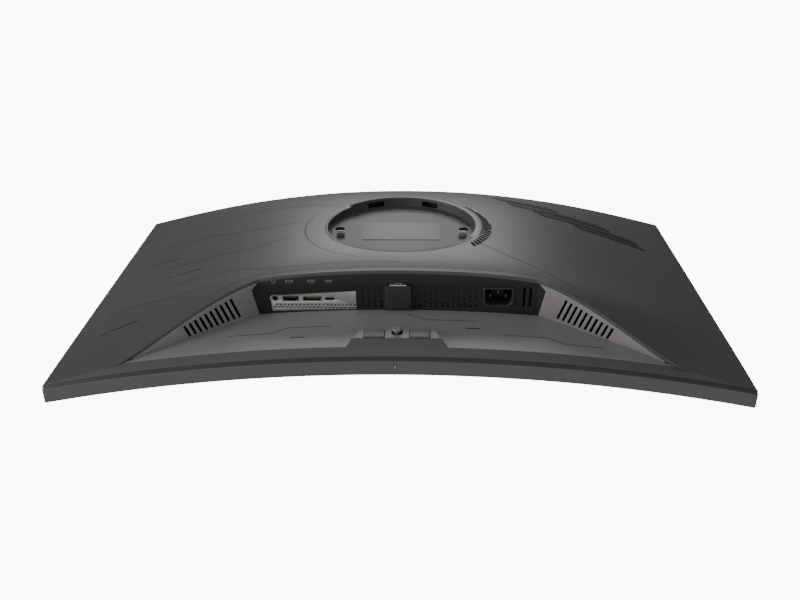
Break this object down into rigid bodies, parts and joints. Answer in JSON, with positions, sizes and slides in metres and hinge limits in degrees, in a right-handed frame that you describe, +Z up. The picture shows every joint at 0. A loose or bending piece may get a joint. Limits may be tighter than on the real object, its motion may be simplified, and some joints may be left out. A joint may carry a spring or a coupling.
{
  "type": "computer monitor",
  "caption": "Curved computer monitor head with a domed back, round wall-mount recess, downward connector bay, side louvres, joystick and two keys",
  "frame": {"origin": "centre of the wall-mount hole pattern, on the floor of the round recess at the back", "axes": "+Z up, +Y out of the back, the screen faces -Y, +X to the right for a person facing the screen"},
  "size_m": [0.612, 0.0934, 0.3662],
  "materials": {
    "shell_grey": "fine matt texture",
    "cup_plastic": "matt",
    "collar_plastic": "satin",
    "lug_plastic": "matt",
    "blank_plate": "satin",
    "lower_plastic": "fine matt texture",
    "bay_plastic": "matt",
    "screen_metal": "matt",
    "plated_metal": "brushed",
    "wing_plastic": "matt",
    "bezel_plastic": "satin",
    "lens": "clear",
    "lcd_glass": "anti-glare",
    "film": "satin",
    "acrylic": "polished",
    "reflector": "matt",
    "led_strip": "matt",
    "frame_plastic": "matt",
    "chassis_steel": "zinc plated",
    "tray_steel": "zinc plated",
    "bracket_steel": "plain",
    "insert_brass": "turned",
    "screw_steel": "zinc plated",
    "pcb_green": "solder mask",
    "chip_black": "moulded",
    "heatsink_alu": "anodised",
    "io_steel": "satin plated",
    "socket_metal": "nickel plated",
    "jack_plastic": "matt",
    "inlet_plastic": "satin",
    "pin_metal": "nickel plated",
    "clip_metal": "plain",
    "pcb_brown": "phenolic",
    "ferrite": "ferrite",
    "tape_yellow": "tape",
    "cap_sleeve": "sleeved",
    "ribbon": "satin",
    "wire_sleeve": "satin",
    "switch_plastic": "matt",
    "key_plastic": "satin",
    "gimbal_metal": "plain",
    "stem_metal": "plain",
    "cap_plastic": "matt",
    "ornament_gloss": "gloss"
  },
  "bodies": {
    "housing": {"rear_cover": "shell_grey", "recess_cup": "cup_plastic", "recess_collar": "collar_plastic", "latch_lug_left": "lug_plastic", "latch_lug_right": "lug_plastic", "floor_plate": "blank_plate", "lower_cover": "lower_plastic", "bay_panel": "bay_plastic", "vent_screen": "screen_metal", "lock_boss": "bay_plastic", "lock_plate": "plated_metal", "wing_grille_left": "wing_plastic", "wing_grille_right": "wing_plastic", "front_bezel": "bezel_plastic", "power_led_lens": "lens", "lcd_cell": "lcd_glass", "optical_films": "film", "light_guide": "acrylic", "reflector_sheet": "reflector", "led_bar": "led_strip", "panel_frame": "frame_plastic", "backlight_chassis": "chassis_steel", "electronics_tray": "tray_steel", "vesa_bracket": "bracket_steel", "mount_inserts": "insert_brass", "bracket_screws": "screw_steel", "main_board": "pcb_green", "main_chips": "chip_black", "main_heatsink": "heatsink_alu", "io_bracket": "io_steel", "hdmi_socket": "socket_metal", "displayport_socket": "socket_metal", "usb_c_socket": "socket_metal", "headphone_jack": "jack_plastic", "ac_inlet": "inlet_plastic", "inlet_pins": "pin_metal", "inlet_clip": "clip_metal", "power_board": "pcb_brown", "transformer": "ferrite", "transformer_winding": "tape_yellow", "capacitors": "cap_sleeve", "power_heatsink": "heatsink_alu", "board_screws": "screw_steel", "source_board": "pcb_green", "panel_ribbon": "ribbon", "mains_wires": "wire_sleeve", "button_board": "pcb_green", "tact_switches": "switch_plastic", "joystick_base": "switch_plastic", "rear_ornament": "ornament_gloss"},
    "key_left": {"key_left": "key_plastic"},
    "key_right": {"key_right": "key_plastic"},
    "stick_gimbal": {"joystick_gimbal": "gimbal_metal"},
    "stick_rocker": {"joystick_stem": "stem_metal"},
    "stick_cap": {"joystick_cap": "cap_plastic"}
  },
  "joints": [
    {"name": "key_left_press", "type": "slide", "parent": "housing", "child": "key_left", "axis": [0, -1, 0], "range_m": [0, 0.0006], "stiffness_N_per_m": 700},
    {"name": "key_right_press", "type": "slide", "parent": "housing", "child": "key_right", "axis": [0, -1, 0], "range_m": [0, 0.0006], "stiffness_N_per_m": 700},
    {"name": "stick_tilt_up_down", "type": "hinge", "parent": "housing", "child": "stick_gimbal", "pos_m": [0, -0.0206, -0.188], "axis": [1, 0, 0], "range_deg": [-5, 5], "stiffness_Nm_per_rad": 0.05},
    {"name": "stick_tilt_side", "type": "hinge", "parent": "stick_gimbal", "child": "stick_rocker", "pos_m": [0, -0.0206, -0.188], "axis": [0, 0, 1], "range_deg": [-5, 5], "stiffness_Nm_per_rad": 0.05},
    {"name": "stick_press", "type": "slide", "parent": "stick_rocker", "child": "stick_cap", "axis": [0, -1, 0], "range_m": [0, 0.0006], "stiffness_N_per_m": 800}
  ]
}
